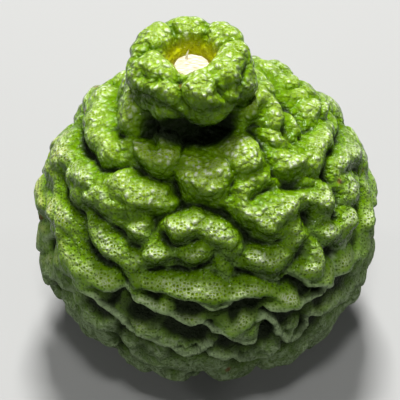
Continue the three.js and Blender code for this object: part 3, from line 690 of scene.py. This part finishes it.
def colour(code):
    """An sRGB hex code as linear red, green, blue and an alpha of 1."""
    parts = np.array([int(code[i:i + 2], 16) for i in (0, 2, 4)]) / 255
    linear = np.where(parts <= 0.04045, parts / 12.92, ((parts + 0.055) / 1.055)**2.4)
    return (*linear.tolist(), 1)


def add(tree, kind, inputs=None, **settings):
    """Add a shader node with its settings; an input takes a value, a socket, or a node's output."""
    node = tree.nodes.new("ShaderNode" + kind)
    for name, setting in settings.items():
        setattr(node, name, setting)
    for name, source in (inputs or {}).items():
        if isinstance(name, int):
            socket = node.inputs[name]
        else:
            socket = next(s for s in node.inputs if s.enabled and s.name == name)
        if isinstance(source, bpy.types.Node):
            source = next(s for s in source.outputs if s.enabled)
        if isinstance(source, bpy.types.NodeSocket):
            tree.links.new(source, socket)
        else:
            socket.default_value = source
    return node


def new_material(name):
    """An empty material with its tree."""
    material = bpy.data.materials.new(name)
    material.use_nodes = True
    material.node_tree.nodes.clear()
    return material, material.node_tree


# Waxy citrus skin: green and full of oil glands, each a dark dot in a pale net. On the collar and
# the upper folds the glands swell the peel into blisters that catch small glints. Painted shade
# darkens the creases, the pockets and the sides that face down; painted highlights whiten the crests
# that face up and the blisters' tops; low down, painted grey-green light lies on raised skin and lips.
WAXY_SKIN = {
    "crease": "304c00", "skin": "73a000", "crest": "aad020", "painted_glint": "fafff0", "painted_low_light": "c0d8a0",
    "left_yellowing": "c6c23c", "russet": "8c5a2a", "net_highlight": "f6fce4", "gland": "304c00", "pocket": "162400",
    "hollow": "ccd210", "scar edge": "d6cd74",
}
# Cells of the patterns, in millimetres.
GLAND_SPACING = 0.72
BLISTER_SIZE = 1.3
SPECK_SPACING = 9
MOTTLE_SIZE = 2.0
# Heights of the fine relief, in millimetres.
SWELL_HEIGHT = 2.2
LEATHER_HEIGHT = 1.8
GLAND_PIT = 0.2
EASED = {"interpolation_type": "SMOOTHSTEP"}
rind_skin, tree = new_material("waxy_citrus_skin")
place = add(tree, "VectorMath", {0: add(tree, "TexCoord").outputs["Object"], "Scale": MM_PER_M},
            operation="SCALE")
polar_angle, crest_height, facing, scoop, lip_line = [
    add(tree, "Attribute", attribute_name=name).outputs["Fac"]
    for name in ("polar", "crest", "upward", "scooped", "lip")
]
mottle = add(tree, "TexNoise", {"Vector": place, "Scale": 1 / MOTTLE_SIZE, "Detail": 3.0})
gland_pattern = {"Vector": place, "Scale": 1 / GLAND_SPACING, "Randomness": 0.55}
glands = add(tree, "TexVoronoi", gland_pattern)
gland_edges = add(tree, "TexVoronoi", gland_pattern, feature="DISTANCE_TO_EDGE")
pulled = add(tree, "VectorMath", {0: mottle.outputs["Color"], 1: (2.0, 2.0, 2.0), 2: place},
             operation="MULTIPLY_ADD")
blisters = add(tree, "TexVoronoi", {"Vector": pulled, "Scale": 1 / BLISTER_SIZE, "Smoothness": 0.3},
               feature="SMOOTH_F1")
leather = add(tree, "TexNoise", {"Vector": place, "Scale": 0.6, "Detail": 5.0, "Roughness": 0.6,
                                 "Distortion": 1.5})
specks = add(tree, "TexVoronoi", {"Vector": place, "Scale": 1 / SPECK_SPACING, "Randomness": 1.0})

# How much there is of each coat of colour. A MapRange reads from 1 to 2 and gives 3 to 4, which are
# 0 and 1 where left out. Heights of crests are in millimetres, polar angles in degrees.
# Skin and crests: by height, painted paler on the collar and waist, with painted shade in the
# creases and where the skin faces down, and painted highlights on the crests that face up.
shade = add(tree, "MapRange", {0: mottle, 1: 0.3, 2: 0.7, 3: -0.2, 4: 0.2})
shade = add(tree, "Math", {0: crest_height, 1: shade}, operation="ADD")
collar_share = add(tree, "MapRange", {0: polar_angle, 1: 32.0, 2: 20.0, 4: 0.5}, **EASED)
shade = add(tree, "Math", {0: collar_share, 1: shade}, operation="ADD")
out_of_shade = add(tree, "MapRange", {0: shade, 1: -1.5, 2: -0.3}, **EASED)
lit = add(tree, "MapRange", {0: facing, 1: -0.5, 2: 0.45, 3: 0.1, 4: 1.0}, **EASED)
out_of_shade = add(tree, "Math", {0: out_of_shade, 1: lit}, operation="MULTIPLY")
lit_crests = add(tree, "MapRange", {0: shade, 1: -0.5, 2: 1.2}, **EASED)
sunny_side = add(tree, "MapRange", {0: facing, 1: 0.1, 2: 0.85}, **EASED)
lit_crests = add(tree, "Math", {0: lit_crests, 1: sunny_side}, operation="MULTIPLY")

# Blisters of the peel, down to the belly: painted glints on their tops where the crests are lit,
# and painted shade between them.
peel = add(tree, "MapRange", {0: polar_angle, 1: 90.0, 2: 60.0, 4: 0.8}, **EASED)
blister_glint = add(tree, "MapRange", {0: blisters, 1: 0.45, 2: 0.1}, **EASED)
blister_glint = add(tree, "Math", {0: blister_glint, 1: peel}, operation="MULTIPLY")
blister_glint = add(tree, "Math", {0: blister_glint, 1: lit_crests}, operation="MULTIPLY")
between = add(tree, "MapRange", {0: blisters, 1: 0.35, 2: 0.66, 4: 0.45}, **EASED)
between = add(tree, "Math", {0: between, 1: peel}, operation="MULTIPLY")

# Painted grey-green light low down: out of the pockets, where the skin stands proud, in leathery
# streaks, and along the lips.
ragged_polar = add(tree, "Math", {0: mottle, 1: 25.0, 2: polar_angle}, operation="MULTIPLY_ADD")
low_down = add(tree, "MapRange", {0: ragged_polar, 1: 88.0, 2: 118.0}, **EASED)
painted_low_light = add(tree, "MapRange", {0: scoop, 1: 0.7, 2: 0.1}, **EASED)
proud = add(tree, "MapRange", {0: shade, 1: -0.9, 2: 0.5, 3: 0.2}, **EASED)
streaks = add(tree, "MapRange", {0: leather, 1: 0.4, 2: 0.62, 3: 0.35}, **EASED)
for share in (low_down, proud, streaks):
    painted_low_light = add(tree, "Math", {0: painted_low_light, 1: share}, operation="MULTIPLY")
lip_light_lower_down = add(tree, "MapRange", {0: polar_angle, 1: 66.0, 2: 92.0, 3: 0.1, 4: 0.9}, **EASED)
lip_line = add(tree, "Math", {0: lip_line, 1: lip_light_lower_down}, operation="MULTIPLY")
painted_low_light = add(tree, "Math", {0: painted_low_light, 1: lip_line}, operation="MAXIMUM")

# Yellower towards the left flank, on the lit crests only, and a few brown specks.
sides = add(tree, "SeparateXYZ", {"Vector": place})
left_yellowing = add(tree, "Math", {0: mottle, 1: -14.0, 2: sides.outputs["X"]}, operation="MULTIPLY_ADD")
left_yellowing = add(tree, "MapRange", {0: left_yellowing, 1: -34.0, 2: -43.0, 4: 0.75}, **EASED)
left_yellowing = add(tree, "Math", {0: left_yellowing, 1: lit_crests}, operation="MULTIPLY")
speck = add(tree, "MapRange", {0: specks, 1: 0.11, 2: 0.03, 4: 0.85}, **EASED)

# The pale net of the glands, whitened as a painted highlight on the lit crests only, and the glands'
# dark dots: both clearer lower down, the dots fainter under the painted low light.
dotted = add(tree, "MapRange", {0: polar_angle, 1: 30.0, 2: 75.0, 3: 0.15, 4: 0.9}, **EASED)
net_highlight = add(tree, "MapRange", {0: gland_edges, 1: 0.2, 2: 0.02}, **EASED)
for share in (dotted, lit_crests, lit_crests):
    net_highlight = add(tree, "Math", {0: net_highlight, 1: share}, operation="MULTIPLY")
dot = add(tree, "MapRange", {0: glands, 1: 0.42, 2: 0.12}, **EASED)
dot = add(tree, "Math", {0: dot, 1: dotted}, operation="MULTIPLY")
ink = add(tree, "MapRange", {0: painted_low_light, 3: 0.7, 4: 0.3})
inked = add(tree, "Math", {0: dot, 1: ink}, operation="MULTIPLY")

# Painted shade in the deep creases and the scooped pockets, the recess under the collar among them,
# and the yellow hollow round the scar.
painted_pocket_shade = add(tree, "MapRange", {0: crest_height, 1: -0.5, 2: -1.8}, **EASED)
pocket = add(tree, "MapRange", {0: scoop, 1: 0.15, 2: 0.5}, **EASED)
painted_pocket_shade = add(tree, "Math", {0: painted_pocket_shade, 1: pocket}, operation="MAXIMUM")
# The hollow is yellow, and its yellow is painted paler than its own as painted light against the
# hollow's shade.
in_hollow = add(tree, "MapRange", {0: polar_angle, 1: 11.0, 2: 5.5}, **EASED)
by_scar = add(tree, "MapRange", {0: polar_angle, 1: 5.0, 2: 3.4}, **EASED)

# The crease green is painted shade: it stays wherever nothing paler is mixed over it.
skin = colour(WAXY_SKIN["crease"])
for share, name in ((out_of_shade, "skin"), (lit_crests, "crest"), (blister_glint, "painted_glint"), (between, "crease"),
                    (painted_low_light, "painted_low_light"), (left_yellowing, "left_yellowing"), (speck, "russet"), (net_highlight, "net_highlight"),
                    (inked, "gland"), (painted_pocket_shade, "pocket"), (in_hollow, "hollow"),
                    (by_scar, "scar edge")):
    skin = add(tree, "Mix", {"Factor": share, "A": skin, "B": colour(WAXY_SKIN[name])},
               data_type="RGBA")

# Fine relief in millimetres: blisters high up, smooth swells on the collar but not in its hollow,
# pits at the glands, and leathery creasing low down.
upper = add(tree, "MapRange", {0: polar_angle, 1: 90.0, 2: 60.0, 3: -0.25, 4: -0.75}, **EASED)
fine = add(tree, "Math", {0: blisters, 1: upper}, operation="MULTIPLY")
swells = add(tree, "TexNoise", {"Vector": place, "Scale": 1 / MOTTLE_SIZE, "Detail": 0.0})
swelling = add(tree, "MapRange", {0: in_hollow, 3: collar_share, 4: 0.0})
swells = add(tree, "Math", {0: swells, 1: swelling}, operation="MULTIPLY")
fine = add(tree, "Math", {0: swells, 1: SWELL_HEIGHT, 2: fine}, operation="MULTIPLY_ADD")
pits = add(tree, "Math", {0: dot, 1: -GLAND_PIT}, operation="MULTIPLY")
creased = add(tree, "Math", {0: leather, 1: LEATHER_HEIGHT}, operation="MULTIPLY")
creased = add(tree, "Math", {0: creased, 1: low_down}, operation="MULTIPLY")
for part in (pits, creased):
    fine = add(tree, "Math", {0: fine, 1: part}, operation="ADD")
normal = add(tree, "Bump", {"Height": fine, "Strength": 1.0, "Distance": 1 / MM_PER_M})

# The wax shines high up, and is dull low down and in the pockets.
dull = add(tree, "MapRange", {0: polar_angle, 1: 70.0, 2: 95.0}, **EASED)
dull = add(tree, "Math", {0: dull, 1: painted_pocket_shade}, operation="MAXIMUM")
shine = add(tree, "MapRange", {0: dull, 3: 0.17, 4: 0.65})
shader = add(tree, "BsdfPrincipled", {"Base Color": skin, "Roughness": shine, "IOR": 1.5,
                                      "Specular IOR Level": 0.23, "Normal": normal})
add(tree, "OutputMaterial", {"Surface": shader})

rind = piece("rind", poled(points), closed_faces(RIND_ROWS, RIND_COLUMNS), rind_skin)
# Of these, crest, upward and scooped place the painted shade and highlights, and lip the painted light
# on the lips.
for name, values in (("polar", polar), ("crest", crest), ("upward", turned_up),
                     ("scooped", scooped), ("lip", lip)):
    attribute = rind.data.attributes.new(name, "FLOAT", "POINT")
    attribute.data.foreach_set("value", poled(values).astype("f4"))
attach(rind, "root")
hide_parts("fruit")

# ---- Stalk stub ----
# The woody core of the stalk, level with the floor of the hollow where the stalk broke away: a pale
# disc of torn fibres, with one long splinter still standing.
stub_low, stub_high = MM_PER_M * np.array(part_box("stalk_stub"))
STUB_ROWS, STUB_COLUMNS = 40, 120
RIM = 0.6  # share of the rows that go to the top
SPLINTER_ROWS, SPLINTER_COLUMNS = 14, 12
SPLINTER_HEIGHT = 1.9
SPLINTER_WIDTH = 0.36
SPLINTER_PLACE = (stub_low + stub_high) / 2 + (-1.1, 1.3, 0.2)


def stub_points(outwards, turn):
    """A disc from its top's middle (outwards 0) over its rim (RIM) to its underside's middle (1).

    Its radius swells and shrinks with the turn by a few sines; its top is torn, by a wave that is
    long along the fibres and short across them.
    """
    middle = (stub_low + stub_high) / 2
    thick = stub_high[2] - stub_low[2]
    radius = (stub_high[0] - stub_low[0]) / 2 - 0.1
    share = np.where(outwards < RIM, outwards / RIM, (1 - outwards) / (1 - RIM))
    ragged = 1 - 0.012 * (1 + np.sin(9 * turn) + np.sin(23 * turn + 2))
    x, y = share * radius * ragged * np.sin(turn), -share * radius * ragged * np.cos(turn)
    flat = np.stack([x, y, 0 * x], -1)
    torn = 0.14 * wave(flat * (0.3, 1, 1), 0.8, 31) + 0.16 * wave(flat, 2.6, 32)
    edge = smooth((1 - share) / 0.1)
    top = middle[2] + thick / 2 - 0.25 + torn * edge - 0.25 * (1 - edge)
    bottom = middle[2] - thick / 2 + 0.2 * (1 - edge)
    return np.stack([middle[0] + x, middle[1] + y, np.where(outwards < RIM, top, bottom)], -1)


def splinter_points(along, turn):
    """A blade on the disc, which leans back and bends aside by the square of its height.

    Its half width is SPLINTER_WIDTH times the 0.7th power of the share left to its point.
    """
    width = SPLINTER_WIDTH * (1 - along)**0.7
    x = 0.5 * along**2 + width * np.sin(turn)
    y = 1.5 * along - 0.5 * width * np.cos(turn)
    return SPLINTER_PLACE + np.stack([x, y, SPLINTER_HEIGHT * along], -1)


# Raw stalk wood, torn across its fibres: pale streaks along them, and a fine ridged roughness.
STALK_WOOD = {"shadow": "dccaa0", "fibre": "fbf6ea"}
torn_wood, tree = new_material("torn_stalk_wood")
place = add(tree, "VectorMath", {0: add(tree, "TexCoord").outputs["Object"], "Scale": MM_PER_M},
            operation="SCALE")
along_fibres = add(tree, "Mapping", {"Vector": place, "Scale": (0.5, 2.2, 1.0)})
fibres = add(tree, "TexNoise", {"Vector": along_fibres, "Scale": 1.4, "Detail": 4.0})
pale = add(tree, "MapRange", {0: fibres, 1: 0.35, 2: 0.65}, **EASED)
wood = add(tree, "Mix", {"Factor": pale, "A": colour(STALK_WOOD["shadow"]),
                         "B": colour(STALK_WOOD["fibre"])}, data_type="RGBA")
normal = add(tree, "Bump", {"Height": fibres, "Strength": 1.0, "Distance": 0.3 / MM_PER_M})
shader = add(tree, "BsdfPrincipled", {"Base Color": wood, "Roughness": 0.85, "Normal": normal})
add(tree, "OutputMaterial", {"Surface": shader})

turn, outwards = np.meshgrid(np.arange(STUB_COLUMNS) * 2 * np.pi / STUB_COLUMNS,
                             np.linspace(0, 1, STUB_ROWS + 2))
disc = poled(stub_points(outwards, turn))
turn, along = np.meshgrid(np.arange(SPLINTER_COLUMNS) * 2 * np.pi / SPLINTER_COLUMNS,
                          np.linspace(1, 0, SPLINTER_ROWS + 2))
blade = [[spot + len(disc) for spot in face] for face in closed_faces(SPLINTER_ROWS, SPLINTER_COLUMNS)]
stub = piece("stalk_stub_torn", np.concatenate([disc, poled(splinter_points(along, turn))]),
             closed_faces(STUB_ROWS, STUB_COLUMNS) + blade, torn_wood)
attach(stub, "root")
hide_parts("stalk_stub")

# ---- Floor, lights and camera ----
# A plain pale floor, whose paleness only the eye sees, so that it throws less light up. A soft key
# lamp stands above and behind, with a weaker one above the front, one at each side and two low down.
white_for_eyes, tree = new_material("pale_floor")
path = add(tree, "LightPath")
seen = path.outputs["Is Camera Ray"]
for ray in ("Is Glossy Ray", "Is Transmission Ray"):
    seen = add(tree, "Math", {0: seen, 1: path.outputs[ray]}, operation="MAXIMUM")
pale = add(tree, "BsdfDiffuse", {"Color": colour("bebebc")})
dim = add(tree, "BsdfDiffuse", {"Color": colour("5a5c5c")})
add(tree, "OutputMaterial", {"Surface": add(tree, "MixShader", {0: seen, 1: dim, 2: pale})})
FLOOR_REACH = 3000.0  # mm from the fruit to each side of the floor
floor = piece("floor", FLOOR_REACH * np.array([(-1, -1, 0), (1, -1, 0), (1, 1, 0), (-1, 1, 0)]),
              [(0, 1, 2, 3)], white_for_eyes)

world = bpy.data.worlds.new("studio")
bpy.context.scene.world = world
world.use_nodes = True
tree = world.node_tree
tree.nodes.clear()
sky = add(tree, "Background", {"Color": colour("ccd0d4"), "Strength": 0.08})
add(tree, "OutputWorld", {"Surface": sky})

middle = Vector((0, 0, BELLY_HEIGHT / MM_PER_M))


def soft_lamp(name, place, size, power):
    """A square soft lamp that faces the fruit's middle."""
    lamp = bpy.data.lights.new(name, "AREA")
    lamp.size, lamp.energy = size, power
    thing = bpy.data.objects.new(name, lamp)
    thing.location = place
    thing.rotation_mode = "QUATERNION"
    thing.rotation_quaternion = (middle - Vector(place)).to_track_quat("-Z", "Y")
    bpy.context.scene.collection.objects.link(thing)


soft_lamp("key_behind", (0.0, 0.55, 1.15), 0.28, 19.5)
soft_lamp("front_above", (0.0, -0.4, 1.2), 0.16, 3.8)
soft_lamp("side_right", (1.1, 0.3, 0.55), 0.14, 0.8)
soft_lamp("side_left", (-1.1, 0.3, 0.55), 0.14, 1.3)
soft_lamp("low_right", (0.9, -0.8, 0.25), 0.4, 1.2)
soft_lamp("low_left", (-0.9, -0.8, 0.25), 0.4, 1.3)

# The camera looks down at the fruit, and takes in a width of 84 mm at its middle.
ELEVATION = math.radians(43)
CAMERA_DISTANCE = 0.4
VIEW_WIDTH = 0.0842
SENSOR = 36  # mm
camera = bpy.data.objects.new("camera", bpy.data.cameras.new("camera"))
back = Vector((0, -math.cos(ELEVATION), math.sin(ELEVATION)))
camera.location = middle + back * CAMERA_DISTANCE
camera.rotation_mode = "QUATERNION"
camera.rotation_quaternion = (-back).to_track_quat("-Z", "Y")
camera.data.sensor_width = SENSOR
camera.data.lens = SENSOR * CAMERA_DISTANCE / VIEW_WIDTH
camera.data.shift_x, camera.data.shift_y = -0.015, 0.0325
camera.data.clip_start = 0.01
bpy.context.scene.collection.objects.link(camera)
bpy.context.scene.camera = camera
bpy.context.scene.view_settings.view_transform = "Standard"
